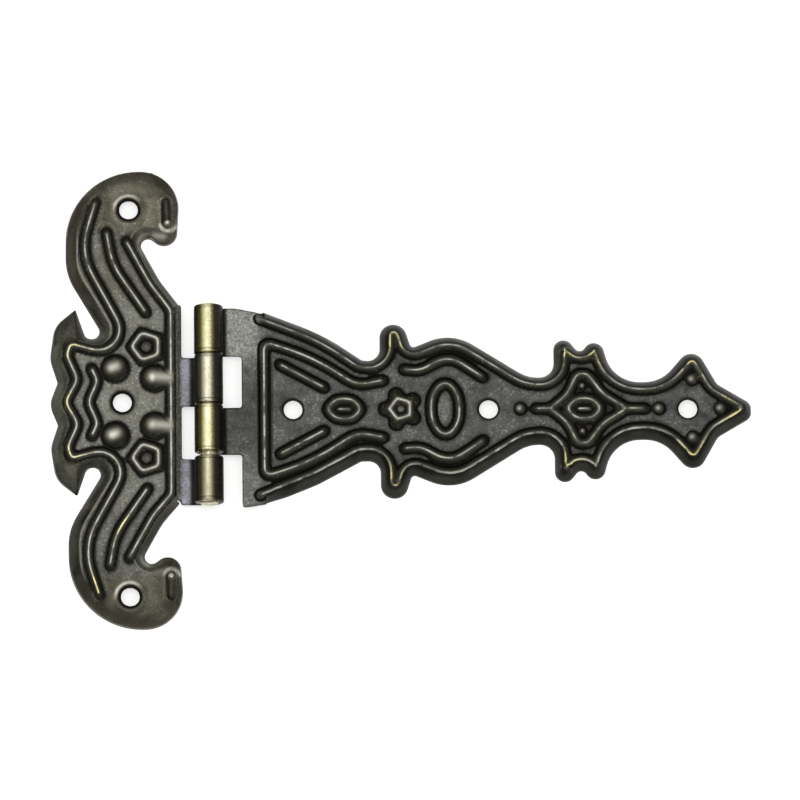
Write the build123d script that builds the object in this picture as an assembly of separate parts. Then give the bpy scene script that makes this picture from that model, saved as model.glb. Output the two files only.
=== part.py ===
import os
from math import acos, atan2, ceil, cos, degrees, inf, pi, sin, sqrt, tan

from build123d import *

# Sheet and levels above the mounting plane, all sizes in millimetres
SHEET = 0.95
FIELD = 2.1
RIDGE = 0.5
OVERLAP = 0.1

# Pressed ridges, half their width at the field, and their tight bends made in flats
RIDGE_HALF = 1.05
FLAT_BEND = 6.0
RIDGE_SAG = 0.06

# Turned-down rim, how far its top lies inside the outline and its inner wall outside the top
STRAP_RIM = 1.85
BUTT_RIM = 2.1
RIM_WALL = 0.2
RIM_LAP = 0.4
WALL_SAG = 0.3

# Barrel, rolled from the sheet over the pin
PIN_R = 1.7
RUNNING_CLEARANCE = 0.05
PRESS = 0.02
CURL_GAP = 0.12
KNUCKLE_GAP = 0.2
WIDE_GAP = 0.85
STRAP_KNUCKLES = (9.2, 8.9)
BUTT_KNUCKLES = (9.3, 8.7)
BARREL_TOP = 19.3
PIN_STAND = 0.25
PIN_EDGE = 0.2

# Screw holes with a small sunk seat
SCREW_R = 1.7
SEAT_R = 2.1
SEAT_DEPTH = 0.4
STRAP_HOLES = (15.65, 51.9, 88.9)
BUTT_MID_HOLE = -15.95
BUTT_END_HOLE = (-14.65, 36.7)

# The butt leaf's centre line lies above the strap's by this much
BUTT_OFFSET = 1.4

# Where the flat roots of the leaves end beside the barrel
STRAP_ROOT = 6.15
STRAP_ROOT_EDGES = (19.2, -18.1)
STRAP_ROOT_TURNS = (8.2, 8.6)
STRAP_ROOT_BEND = 4
ROOT_CORNER = 0.4
BUTT_ROOT = -4.95

# Strap outline above its centre line, corner points with bend radii, and its fuller upper root
STRAP_TIP = 100.75
STRAP_UPPER_ROOT = [(10.2, 18.95, 0), (21.5, 14.55, 40), (28.5, 9.75, 1.1)]
STRAP_OUTLINE = [
    (10.2, 17.95, 0),
    (20.25, 13.85, 22),
    (28.25, 9.5, 1.1),
    (31.85, 9.4, 2.25),
    (31.85, 30.6, 2.55),
    (37.7, 12.0, 0.75),
    (45.3, 15.1, 8.8),
    (59.25, 6.4, 6.9),
    (64.15, 6.4, 2.7),
    (64.15, 16.9, 1.75),
    (69.1, 10.7, 1.1),
    (72.4, 15.45, 1.9),
    (75.2, 5.5, 6.4),
    (84.0, 5.5, 6.6),
    (90.2, 12.65, 2.45),
    (94.5, 5.05, 2.25),
    (STRAP_TIP, 1.35, 1.7),
]

# Strap ridges above the centre line
FRAME_RIDGE = [(32.3, 5.4, 0), (27.5, 4.45, 4.7), (19.2, 9.9, 40), (10.3, 12.8, 0.9)]
BAR_RIDGE = [(13.3, 8.45, 0), (21.35, 4.1, 0)]
WAVE_RIDGE = [(36.3, 7.5, 0), (39.2, 7.2, 3.7), (44.55, 10.2, 4.5), (50.8, 6.0, 0)]
STAR_RIDGE = [
    (63.25, 0, 0),
    (66.4, 2.55, 4.7),
    (68.4, 6.65, 0.8),
    (70.3, 6.55, 0.8),
    (73.0, 2.85, 5.6),
    (77.55, 0, 0),
]
STAR_STEMS = ((60.7, 63.25), (77.55, 80.8))
LYING_OVALS = (25.1, 69.6)
LYING_OVAL_RIDGE = [(-3.3, 0, 0.8), (-1.5, 1.9, 2.0), (1.5, 1.9, 2.0)]
CENTRE_LINE_HALF = 0.5
CENTRE_LINE_RISE = 0.3
CENTRE_LINE_REACH = 1.3
STANDING_OVAL = 43.85
STANDING_OVAL_RIDGE = [(0, 5.9, 1.6), (2.6, 2.5, 5.0), (2.6, -2.5, 5.0)]
ROSETTE = 35.6
ROSETTE_RIDGE_R = 2.1
ROSETTE_DOME_R = 0.65
ROSETTE_DOME_RISE = 0.25
PETAL_REACH = 2.75
PETAL_R = 1.4
STRAP_DOTS = [(57.75, 0), (83.5, 0), (94.9, 0), (89.7, 5.5), (89.7, -5.5)]
DOT_R = 1.2
DOT_RISE = 0.4
DOT_SIDES = 12
STAR_DOTS = [(69.3, 4.3), (69.3, -4.3)]
STAR_DOT_R = 0.75

# Butt outline above its centre line, from the waist over the head to the barrel, and how far
# the press left both ends high and leaning to the barrel, as shares of the height
BUTT_HIGH = 0.022
BUTT_LEANS = (0.007, 0.02)
HEAD_TOP = 43.5
BUTT_OUTLINE_MID = (-29.5, 0, 4.1)
BUTT_OUTLINE = [
    (-27.95, 4.0, 0.75),
    (-29.4, 8.35, 4.7),
    (-28.6, 14.55, 4.7),
    (-24.7, 17.75, 0.6),
    (-22.75, 12.25, 1.35),
    (-19.2, 12.25, 1.35),
    (-26.55, 24.25, 11.2),
    (-26.55, HEAD_TOP, 13.5),
    (-5.2, HEAD_TOP, 7.1),
    (-6.05, 27.15, 2.5),
    (-15.45, 34.4, 1.3),
    (-9.1, 23.1, 11),
    (BUTT_ROOT, 18.25, 0),
]

# Butt ridges above the centre line
NECK_RIDGE = [
    (-21.1, 37.25, 0),
    (-23.9, 27.85, 11.8),
    (-12.45, 7.25, 4.0),
    (-25.55, 10.85, 0),
    (-26.3, 8.75, 1.5),
    (-24.2, 4.2, 1.7),
]
NECK_RIDGE_MID = (-26.55, 0, 1.7)
MIDDLE_RIDGE = [(-19.0, 31.6, 0), (-17.9, 25.65, 13), (-11.7, 16.7, 0)]
EDGE_RIDGE_X = -6.95
EDGE_RIDGE_BEND = 1.2
EDGE_RIDGE_LENGTH = 9.2
INNER_WAVE = [(-21.65, 6.35, 0), (-20.5, 4.0, 1.5)]
INNER_WAVE_MID = (-22.3, 0, 1.9)
BALL_R = 2.5
BALL_RISE = 1.0
BALL_RINGS = 3
FREE_BALL = (-17.25, 6.35)
STEM_BALL = (-10.0, 4.55)
BUTT_ROSETTE = (-11.5, 10.55)
BUTT_ROSETTE_R = 2.7
EYE = (-7.75, 35.0, 0)
EYE_SIZE = (2.3, 5.9)
EYE_CORNER = 0.7
EYE_DEPTH = 0.4
EYE_TAPER = 40
EYE_DOME = (-7.6, 33.6, 0.7)

# Fits and levels that follow from the sizes above
UNDER = FIELD - SHEET
CREST = FIELD + RIDGE
RIDGE_FOOT = RIDGE_HALF * (1 + OVERLAP / RIDGE)
BORE_R = PIN_R + RUNNING_CLEARANCE
BARREL_R = BORE_R + SHEET
AXIS_Z = UNDER + BARREL_R


def mirrored(points):
    """The same corners below the centre line, in the order that carries the path on."""
    return [(x, -y, r) for x, y, r in reversed(points)]


def pressed(points):
    """Butt corners as the press left them, both ends a little high and leaning to the barrel."""
    return [(x + BUTT_LEANS[y < 0] * abs(y), y + BUTT_HIGH * abs(y), r) for x, y, r in points]


def around(corners, x):
    """A closed path of corners and the same corners turned half round, about a centre-line spot."""
    return [(x + side * a, side * b, r) for side in (1, -1) for a, b, r in corners]


def inset(points, depth):
    """The path moved to its right by depth, end points included."""
    moved = []
    for i, (x, y, r) in enumerate(points):
        here = Vector(x, y)
        before = Vector(*points[i - 1][:2]) if i else None
        after = Vector(*points[i + 1][:2]) if i + 1 < len(points) else None
        a = (here - before).normalized() if before else (after - here).normalized()
        b = (after - here).normalized() if after else a
        turn = atan2(a.X * b.Y - a.Y * b.X, a.dot(b))
        out = (Vector(a.Y, -a.X) + Vector(b.Y, -b.X)).normalized() / sqrt((1 + a.dot(b)) / 2)
        bend = max(r + depth, 0) if turn > 0 else max(r - depth, 0)
        spot = here + out * depth
        moved.append((spot.X, spot.Y, bend if 0 < i < len(points) - 1 else 0))
    return moved


def clip(section, limit, side):
    """The part of a section polygon that lies up to limit on one side."""
    kept = []
    for (x0, z0), (x1, z1) in zip(section, section[1:] + section[:1]):
        d0, d1 = side * x0 - limit, side * x1 - limit
        if d0 <= 0:
            kept.append((x0, z0))
        if d0 * d1 < 0:
            t = d0 / (d0 - d1)
            kept.append((x0 + t * (x1 - x0), z0 + t * (z1 - z0)))
    return kept


def stand(section, spot, heading):
    """A section polygon set upright across the heading, its first axis to the left."""
    left, ahead = (-heading.Y, heading.X, 0), (heading.X, heading.Y, 0)
    across = Plane(origin=(spot.X, spot.Y, 0), x_dir=left, z_dir=ahead)
    return across * make_face(Polyline(*section, close=True))


def turned(section, spot, heading, centre, turn):
    """A section turned about an upright axis, cut where it would pass the axis."""
    side = 1 if turn > 0 else -1
    axis = Axis((centre.X, centre.Y, 0), (0, 0, side))
    face = stand(clip(section, (spot - centre).length, side), spot, heading)
    return revolve(face, axis=axis, revolution_arc=abs(degrees(turn)))


def stud(x, y, half, rise, sides=8, turn=0.0):
    """Low many-sided point standing on the field, one pair of its sides along the turn."""
    foot = half * (1 + OVERLAP / rise)
    base = RegularPolygon(foot, sides, major_radius=False, rotation=turn + 180 / sides)
    return loft([Pos(x, y, FIELD - OVERLAP) * base, Vertex(x, y, FIELD + rise)], ruled=True)


def bend(points, i):
    """Headings before and after a corner, its turn, and its bend's start, end and centre."""
    before, here, after = (Vector(*points[k % len(points)][:2]) for k in (i - 1, i, i + 1))
    a, b = (here - before).normalized(), (after - here).normalized()
    turn = atan2(a.X * b.Y - a.Y * b.X, a.dot(b))
    r = points[i][2]
    back = r * tan(abs(turn) / 2)
    first, last = here - a * back, here + b * back
    centre = first + Vector(-a.Y, a.X) * (r if turn > 0 else -r)
    return a, b, turn, first, last, centre


def flats(points, sag, widest):
    """The path with its bends up to the widest radius cut into flats."""
    spots = []
    for i, (x, y, r) in enumerate(points):
        if not 0 < r <= widest:
            spots.append((x, y, r))
            continue
        a, b, turn, first, last, centre = bend(points, i)
        count = ceil(abs(turn) / acos(max(1 - sag / r, 0)) / 2)
        for k in range(count + 1):
            spot = centre + (first - centre).rotate(Axis.Z, degrees(turn) * k / count)
            spots.append((spot.X, spot.Y, 0))
    return spots


def run(points, section, closed=False, mitred=False):
    """Solids of a section carried along a path of straight lengths and bends."""
    solids = []
    legs = []
    for i in range(len(points)) if closed else range(1, len(points) - 1):
        a, b, turn, first, last, centre = bend(points, i)
        legs.append((first, last))
        join = mitre(section, first, a, b, turn) if mitred and not points[i][2] else None
        solids.append(join or turned(section, first, a, centre, turn))
    if closed:
        straights = [(legs[i - 1][1], legs[i][0]) for i in range(len(legs))]
    else:
        ends = [Vector(*points[k][:2]) for k in (0, -1)]
        stops = ends[:1] + [spot for leg in legs for spot in leg] + ends[1:]
        straights = list(zip(stops[::2], stops[1::2]))
    for a, b in straights:
        if (b - a).length > 1e-3:
            solids.append(extrude(stand(section, a, (b - a).normalized()), amount=(b - a).length))
    return solids


def mitre(section, spot, a, b, turn):
    """The outer wedge that closes a sharp corner of a ridge."""
    (foot, low), (_, high) = section[:2]
    reach = foot if turn < 0 else -foot
    left_a, left_b = Vector(-a.Y, a.X), Vector(-b.Y, b.X)
    both = (left_a + left_b) / (1 + left_a.dot(left_b))
    base = [spot, spot + left_a * reach, spot + both * reach, spot + left_b * reach]
    face = Pos(0, 0, low) * make_face(Polyline(*base, close=True))
    return loft([face, Vertex(spot.X, spot.Y, high)], ruled=True)


def ridge(points, closed=False, half=RIDGE_HALF, rise=RIDGE):
    """A pressed ridge along a path, its tight bends in flats, its free ends drawn to the field."""
    path = flats(points, RIDGE_SAG, FLAT_BEND)
    foot = half * (1 + OVERLAP / rise)
    section = [(foot, FIELD - OVERLAP), (0, FIELD + rise), (-foot, FIELD - OVERLAP)]
    solids = run(path, section, closed, mitred=True)
    if not closed:
        solids += ridge_ends(path, half, rise)
    return solids


def ridge_ends(path, half=RIDGE_HALF, rise=RIDGE):
    """Many-sided points over both ends of a path."""
    made = []
    for (x, y, _), (other_x, other_y, _) in (path[:2], path[:-3:-1]):
        made.append(stud(x, y, half, rise, turn=degrees(atan2(y - other_y, x - other_x))))
    return made


def hollow(points, past):
    """Cutter for the space under a leaf, its wall in flats along the path, open past both ends."""
    wall = [(x, y) for x, y, r in flats(points, WALL_SAG, inf)]
    ends = [(x + past, y) for x, y in (wall[-1], wall[0])]
    floor = make_face(Polyline(*wall, *ends, close=True))
    return extrude(Pos(0, 0, -SHEET) * floor, amount=UNDER + SHEET)


def outline_face(points, z):
    """A flat face inside a closed path of corner points with bends."""
    edge = FilletPolyline(*[(x, y) for x, y, r in points], radius=[r for x, y, r in points], close=True)
    return Pos(0, 0, z) * make_face(edge)


def ball(x, y):
    """Round boss standing on the field, in rings of flats that follow an oval."""
    leans = [pi / 2 * k / BALL_RINGS for k in range(BALL_RINGS + 1)]
    sizes = [(BALL_R * cos(lean), BALL_RISE * sin(lean)) for lean in leans]
    made = None
    for (wide, low), (narrow, high) in zip(sizes[:-1], sizes[1:]):
        slope = (high - low) / (wide - narrow)
        point = stud(x, y, wide + low / slope, low + wide * slope, DOT_SIDES)
        made = made & point if made else point
    return made


def five(radius, x, y, bend=0.0):
    """Corners of a regular five-sided path with one corner toward the barrel's far side."""
    spots = [Vector(-radius, 0).rotate(Axis.Z, -72 * k) for k in range(5)]
    return [(x + s.X, y + s.Y, bend) for s in spots]


def screw_hole(x, y):
    """Cutter for a screw hole with its sunk seat."""
    seat = Cone(SCREW_R, SEAT_R, SEAT_DEPTH, align=(Align.CENTER, Align.CENTER, Align.MAX))
    return Pos(x, y, FIELD) * (seat + Pos(0, 0, -SHEET) * Cylinder(SCREW_R, 4 * SHEET))


def knuckle(low, high, root, bore):
    """Tab and curl of one knuckle, rolled up from the root over the pin."""
    length = high - low
    ring = Cylinder(BARREL_R, length) - Cylinder(bore, length)
    lip = UNDER + SHEET + CURL_GAP - AXIS_Z
    reach = sqrt(BARREL_R**2 - lip**2)
    far, under = 2 * reach, -2 * BARREL_R
    slot = make_face(Polyline((0, 0), (far, 2 * lip), (far, under), (0, under), close=True))
    curl = Rot(90, 0, 0) * (ring - extrude(slot, amount=length, both=True))
    tab = Pos(abs(root) / 2, 0, UNDER + SHEET / 2 - AXIS_Z) * Box(abs(root) + RIM_LAP, length, SHEET)
    tab -= Rot(90, 0, 0) * Cylinder(bore, 2 * length)
    tab -= Pos(-BARREL_R, 0, 0) * Box(2 * BARREL_R, 2 * length, 4 * BARREL_R)
    made = curl + tab
    if root < 0:
        made = mirror(made, about=Plane.YZ)
    return Pos(0, (low + high) / 2, AXIS_Z) * made


def plate(face):
    """Sheet on the field level."""
    return extrude(face, amount=SHEET)


# Knuckles from the top of the barrel down
k1_low = BARREL_TOP - STRAP_KNUCKLES[0]
k2_top = k1_low - KNUCKLE_GAP
k2_low = k2_top - BUTT_KNUCKLES[0]
k3_top = k2_low - KNUCKLE_GAP
k3_low = k3_top - STRAP_KNUCKLES[1]
k4_top = k3_low - WIDE_GAP
k4_low = k4_top - BUTT_KNUCKLES[1]

# Strap leaf
strap_edge = STRAP_UPPER_ROOT + STRAP_OUTLINE[len(STRAP_UPPER_ROOT):] + mirrored(STRAP_OUTLINE)
strap_crest = inset(strap_edge, STRAP_RIM)
rim_section = [
    (STRAP_RIM, 0),
    (0, CREST),
    (-RIDGE_FOOT, FIELD - OVERLAP),
    (-RIM_LAP, 0),
]
strap = plate(outline_face(strap_crest, UNDER))
(root_x, root_y, _), (_, root_low, _) = strap_edge[0], strap_edge[-1]
top, bottom = STRAP_ROOT_EDGES
strap += plate(
    outline_face(
        [
            (STRAP_ROOT, top, ROOT_CORNER),
            (STRAP_ROOT_TURNS[0], top, STRAP_ROOT_BEND),
            (root_x + RIM_LAP, root_y, 0),
            (root_x + RIM_LAP, root_low, 0),
            (STRAP_ROOT_TURNS[1], bottom, STRAP_ROOT_BEND),
            (STRAP_ROOT, bottom, ROOT_CORNER),
        ],
        UNDER,
    )
)
raised = run(strap_crest, rim_section) + ridge_ends(strap_crest)
raised += ridge(FRAME_RIDGE + mirrored(FRAME_RIDGE))
for path in (BAR_RIDGE, WAVE_RIDGE):
    raised += ridge(path) + ridge(mirrored(path))
raised += ridge(STAR_RIDGE + mirrored(STAR_RIDGE)[1:-1], closed=True)
for low, high in STAR_STEMS:
    raised += ridge([(low, 0, 0), (high, 0, 0)])
for x in LYING_OVALS:
    raised += ridge(around(LYING_OVAL_RIDGE, x), closed=True)
    line = [(x - CENTRE_LINE_REACH, 0, 0), (x + CENTRE_LINE_REACH, 0, 0)]
    raised += ridge(line, half=CENTRE_LINE_HALF, rise=CENTRE_LINE_RISE)
raised += ridge(around(STANDING_OVAL_RIDGE, STANDING_OVAL), closed=True)
raised += ridge(five(ROSETTE_RIDGE_R, ROSETTE, 0), closed=True)
raised.append(stud(ROSETTE, 0, ROSETTE_DOME_R, ROSETTE_DOME_RISE))
for x, y, r in five(PETAL_REACH, ROSETTE, 0):
    raised.append(stud(x, y, PETAL_R, RIDGE, DOT_SIDES))
for x, y in STRAP_DOTS:
    raised.append(stud(x, y, DOT_R, DOT_RISE, DOT_SIDES))
for x, y in STAR_DOTS:
    raised.append(stud(x, y, STAR_DOT_R, DOT_RISE))
strap = strap + raised
strap = strap + [
    knuckle(k1_low, BARREL_TOP, STRAP_ROOT, BORE_R),
    knuckle(k3_low, k3_top, STRAP_ROOT, BORE_R),
]
strap = strap - [screw_hole(x, 0) for x in STRAP_HOLES]
strap = strap - hollow(inset(strap_edge, STRAP_RIM - RIM_WALL), -SHEET)


# Butt leaf, drawn about its own centre line
butt_edge = mirrored(BUTT_OUTLINE) + [BUTT_OUTLINE_MID] + BUTT_OUTLINE
butt_edge[1:-1] = pressed(butt_edge[1:-1])
shoulder = inset(butt_edge, BUTT_RIM)
neck_lines = []
roots = []
for path in (shoulder, mirrored(shoulder)):
    knee, neck, heel = (Vector(x, y) for x, y, r in path[-3:])
    corner = neck + (heel - neck) * ((EDGE_RIDGE_X - neck.X) / (heel.X - neck.X))
    corner_out = corner + Vector(neck.Y - heel.Y, heel.X - neck.X).normalized() * BUTT_RIM
    tip = neck + (knee - neck).normalized() * EDGE_RIDGE_LENGTH
    neck_lines.append([(tip.X, tip.Y, 0), path[-2], (corner.X, corner.Y, 0)])
    inner = (corner.X - RIM_LAP, corner.Y, 0)
    roots.append([inner, (corner_out.X, corner_out.Y, 0), (BUTT_ROOT, BUTT_OUTLINE[-1][1], ROOT_CORNER)])
upper_line, lower_line = neck_lines[0], mirrored(neck_lines[1])
shoulder[-1] = upper_line[-1]
shoulder[0] = lower_line[0]
butt = plate(outline_face(shoulder, UNDER))
butt += plate(outline_face(roots[0] + mirrored(roots[1]), UNDER))
plain_rim = [
    (BUTT_RIM, 0),
    (0, FIELD),
    (-RIM_LAP, FIELD - RIM_LAP),
    (-RIM_LAP, 0),
]
crest_rim = [
    (BUTT_RIM, 0),
    (0, CREST),
    (-RIDGE_FOOT, FIELD - OVERLAP),
    (0, UNDER + OVERLAP),
]
raised = run(shoulder, plain_rim, mitred=True)
for path in (upper_line, lower_line):
    raised += run(path, crest_rim)
edge_line = upper_line + lower_line
for i in (2, 3):
    edge_line[i] = (*edge_line[i][:2], EDGE_RIDGE_BEND)
raised += ridge(edge_line)
raised += ridge(pressed(NECK_RIDGE + [NECK_RIDGE_MID] + mirrored(NECK_RIDGE)))
raised += ridge(INNER_WAVE + [INNER_WAVE_MID] + mirrored(INNER_WAVE))
for side in (1, -1):
    raised += ridge(pressed([(x, side * y, r) for x, y, r in MIDDLE_RIDGE]))
    x, y = STEM_BALL
    raised.append(ball(x, side * y))
    raised += ridge([(x, side * y, 0), (EDGE_RIDGE_X, side * y, 0)])
    x, y = FREE_BALL
    raised.append(ball(x, side * y))
    x, y = BUTT_ROSETTE
    raised += ridge(five(BUTT_ROSETTE_R, x, side * y), closed=True)
    raised.append(stud(x, side * y, ROSETTE_DOME_R, ROSETTE_DOME_RISE))
butt = butt + raised
butt = butt + [
    knuckle(k2_low - BUTT_OFFSET, k2_top - BUTT_OFFSET, BUTT_ROOT, PIN_R - PRESS),
    knuckle(k4_low - BUTT_OFFSET, k4_top - BUTT_OFFSET, BUTT_ROOT, PIN_R - PRESS),
]
holes = [screw_hole(BUTT_MID_HOLE, 0)]
domes = []
eye = chamfer(Rectangle(*EYE_SIZE).vertices(), EYE_CORNER)
for side in (1, -1):
    (x, y, _), (dome_x, dome_y, half) = pressed([(a, side * b, r) for a, b, r in (EYE, EYE_DOME)])
    holes.append(extrude(Pos(x, y, FIELD) * eye, amount=-EYE_DEPTH, taper=EYE_TAPER))
    domes.append(Pos(0, 0, -EYE_DEPTH) * stud(dome_x, dome_y, half, EYE_DEPTH))
    holes.append(screw_hole(BUTT_END_HOLE[0], side * BUTT_END_HOLE[1]))
butt = butt - holes - hollow(inset(butt_edge, BUTT_RIM - RIM_WALL), SHEET)
butt = butt + domes

# Pin with broken edges at its ends
pin_low, pin_high = k4_low - PIN_STAND, BARREL_TOP + PIN_STAND
pin = Rot(90, 0, 0) * Cylinder(PIN_R, pin_high - pin_low)
pin = Pos(0, (pin_low + pin_high) / 2, AXIS_Z) * pin
pin = chamfer(pin.edges().filter_by(GeomType.CIRCLE), PIN_EDGE)

# The origin is the butt leaf's middle screw hole on the mounting plane
to_origin = Pos(-BUTT_MID_HOLE, 0, 0)
strap_to_butt = Pos(0, -BUTT_OFFSET, 0)
os.makedirs("parts", exist_ok=True)
export_step(to_origin * butt, "parts/butt_leaf.step")
export_step(to_origin * strap_to_butt * strap, "parts/strap_leaf.step")
export_step(to_origin * strap_to_butt * pin, "parts/hinge_pin.step")
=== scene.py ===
import math

import bmesh
import bpy
import numpy as np
from mathutils import Matrix, Vector
from mathutils.kdtree import KDTree


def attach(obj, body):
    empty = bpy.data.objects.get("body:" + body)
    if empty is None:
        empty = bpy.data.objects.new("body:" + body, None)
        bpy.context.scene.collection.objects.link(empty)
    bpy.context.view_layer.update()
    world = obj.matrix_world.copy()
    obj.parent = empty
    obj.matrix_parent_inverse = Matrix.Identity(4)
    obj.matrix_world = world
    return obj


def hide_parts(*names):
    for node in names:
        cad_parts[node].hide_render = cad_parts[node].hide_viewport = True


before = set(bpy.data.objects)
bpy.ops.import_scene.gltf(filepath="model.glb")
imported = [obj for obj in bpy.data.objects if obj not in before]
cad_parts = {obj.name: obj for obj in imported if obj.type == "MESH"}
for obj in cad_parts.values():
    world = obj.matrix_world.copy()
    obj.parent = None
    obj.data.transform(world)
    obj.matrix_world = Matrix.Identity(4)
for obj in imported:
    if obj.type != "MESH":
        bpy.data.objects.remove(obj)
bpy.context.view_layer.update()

# Butt leaf, the short leaf that is screwed to the post: one piece of thin steel
# sheet, cut and pressed with its beads, balls and rosettes in one stroke, its two
# tabs rolled forward over the pin and the whole plated and rubbed to an old bronze.
scene = bpy.context.scene
MM = 0.001  # the leaves' sizes and places are in millimetres
FIELD = 2.1  # height of the plain field between the beads
CREST = 2.6  # height of the solid's ridges
BEAD_HALF = 1.05
BEAD_RISE = 0.62
GROOVE_HALF = 0.16
GROOVE_DEPTH = 0.07
TIP_ROUND = 0.06
TIP_LOW = 0.245
TIP_SPAN = 0.785
EDGE_SWELL = 1.1
PIN_X = 15.95
BARREL_REACH = 4.6
SKIN = 0.23  # size of the skin's small faces
SNAP_REACH = 1.3 * SKIN
MERGE_REACH = 0.01
BACK_PATCH = 2.5
PATCHES = 100
MOST_PATCHES = 30000
LINE_STEP = 0.1  # from spot to spot along a pressed line
CORNER_ROUND = 0.8
HEIGHT_SLACK = 0.03
LEVEL_SLACK = 0.02
FLAT_FACE = 0.995  # how far a face's normal points up
BACK_FACE = -0.999
FAR = 3.0  # distances to the pressed lines are kept up to this one


def smooth_step(low, high, value):
    """From 0 at low to 1 at high, with soft ends; high may be the smaller."""
    part = np.clip((value - low) / (high - low), 0, 1)
    return part * part * (3 - 2 * part)


def bell(away, width):
    """1 where away is 0, fading over the width on both sides."""
    return np.exp(-((away / width) ** 2))


def below_roll(z):
    """1 on the flat of a leaf, 0 where its tabs have risen into the roll."""
    return smooth_step(FIELD + 0.9, FIELD + 0.4, z)


def spot_tree(spots):
    """Spots kept so that the nearest one is found quickly."""
    tree = KDTree(len(spots))
    for i, spot in enumerate(spots):
        tree.insert(spot, i)
    tree.balance()
    return tree


def merged_solid(node):
    """A copy of a leaf's solid with its loose triangles joined."""
    bm = bmesh.new()
    bm.from_mesh(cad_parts[node].data)
    bmesh.ops.remove_doubles(bm, verts=bm.verts, dist=1e-6)
    return bm


def rounded_line(spots):
    """The same spots with the corners between straight runs rounded as a pressing leaves them."""
    tree = spot_tree(spots)
    near = [[found[0] for found in tree.find_range(spot, CORNER_ROUND)] for spot in spots]
    return [sum(group, Vector()) / len(group) for group in near]


def line_kind(edge, a, b):
    """Which line of the pressing an edge of the solid lies on, if any.

    The outline is the sharp edge at the bottom, a crest falls away on both sides,
    a foot is hollow beside the field, and the shoulder is the field's outer edge.
    """
    one, two = (face.normal for face in edge.link_faces)
    gentle, steep = max(one.z, two.z), min(one.z, two.z)
    low, high = min(a.z, b.z), max(a.z, b.z)
    if high < LEVEL_SLACK and edge.is_convex and one.angle(two) > 0.3:
        return "outline"
    on_front = low >= FIELD - HEIGHT_SLACK and high <= CREST + HEIGHT_SLACK and steep >= 0.4
    if not on_front or high - low >= LEVEL_SLACK:
        return None
    if a.z > FIELD + 0.15 and one.x * two.x + one.y * two.y < -0.05:
        return "crest"
    if not edge.is_convex and gentle > FLAT_FACE and steep < 0.97:
        return "foot"
    if gentle > FLAT_FACE and steep < 0.8:
        return "shoulder"
    return None


def pressed_lines(node):
    """Spots close together along the crests, feet, shoulder and outline of a leaf's pressing."""
    bm = merged_solid(node)
    lines = {"crest": [], "foot": [], "shoulder": [], "outline": []}
    for edge in bm.edges:
        if len(edge.link_faces) != 2:
            continue
        a, b = (corner.co / MM for corner in edge.verts)
        kind = line_kind(edge, a, b)
        if kind:
            steps = max(1, math.ceil((b - a).length / LINE_STEP))
            lines[kind] += [a.lerp(b, k / steps) for k in range(steps + 1)]
    bm.free()
    for kind in ("crest", "foot"):
        lines[kind] = rounded_line(lines[kind])
    return lines


def even_skin(name, node):
    """The leaf's solid as one skin of small even faces, its edges a little softened."""
    bm = merged_solid(node)
    mesh = bpy.data.meshes.new(name)
    bm.to_mesh(mesh)
    bm.free()
    piece = bpy.data.objects.new(name, mesh)
    scene.collection.objects.link(piece)
    skin = piece.modifiers.new("Even skin", "REMESH")
    skin.mode = "VOXEL"
    skin.voxel_size = SKIN * MM
    skin.use_smooth_shade = True
    soft = piece.modifiers.new("Soft edges", "SMOOTH")
    soft.factor = 0.5
    soft.iterations = 6
    depsgraph = bpy.context.evaluated_depsgraph_get()
    piece.data = bpy.data.meshes.new_from_object(piece.evaluated_get(depsgraph))
    piece.modifiers.clear()
    piece.data.name = name
    return piece


def snap_to_outline(bm, outline):
    """Draws the lowest points of a skin onto the leaf's own outline, with no fins left over."""
    tree = spot_tree([spot * MM for spot in outline])
    for corner in bm.verts:
        if corner.co.z < SNAP_REACH * MM:
            spot, _, reach = tree.find(corner.co)
            if reach < SNAP_REACH * MM:
                corner.co = spot
    bmesh.ops.remove_doubles(bm, verts=bm.verts, dist=MERGE_REACH * MM)
    bmesh.ops.dissolve_degenerate(bm, edges=bm.edges, dist=MERGE_REACH * MM)
    fins = dict.fromkeys(face for edge in bm.edges if edge.is_boundary for face in edge.link_faces)
    bmesh.ops.delete(bm, geom=list(fins), context="FACES")


def thin_the_back(bm):
    """Joins the small faces of the flat back into square patches, each marked by a number of its own."""
    back = [face for face in bm.faces if face.normal.z < BACK_FACE]
    for face in back:
        patch = face.calc_center_median() / (BACK_PATCH * MM)
        column, row = int(patch.x + PATCHES / 2), int(patch.y + PATCHES / 2)
        face.material_index = 1 + (column * PATCHES + row) % MOST_PATCHES
        face.smooth = False
    corners = list(dict.fromkeys(corner for face in back for corner in face.verts))
    sides = list(dict.fromkeys(side for face in back for side in face.edges))
    bmesh.ops.dissolve_limit(bm, angle_limit=0.02, verts=corners, edges=sides, delimit={"MATERIAL"})
    for face in bm.faces:
        face.material_index = 0


def pressed_skin(name, node, outline):
    """The leaf's skin, true to its outline and fine only where it shows its front."""
    piece = even_skin(name, node)
    bm = bmesh.new()
    bm.from_mesh(piece.data)
    snap_to_outline(bm, outline)
    thin_the_back(bm)
    bm.to_mesh(piece.data)
    bm.free()
    return piece


def neighbour_mean(piece, values, steps):
    """Values on the points, each averaged with its neighbours a few times."""
    count = len(piece.data.vertices)
    ends = np.zeros(len(piece.data.edges) * 2, np.int32)
    piece.data.edges.foreach_get("vertices", ends)
    a, b = ends[::2], ends[1::2]
    degree = np.bincount(a, minlength=count) + np.bincount(b, minlength=count)
    for _ in range(steps):
        total = np.bincount(a, values[b], count) + np.bincount(b, values[a], count)
        values = (values + total / degree) / 2
    return values


def line_reach(points, line):
    """How far each point lies from the nearest spot of a line, seen from the front."""
    tree = spot_tree([(spot.x, spot.y, 0) for spot in line])
    return np.array([tree.find((x, y, 0))[2] for x, y in points])


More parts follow.
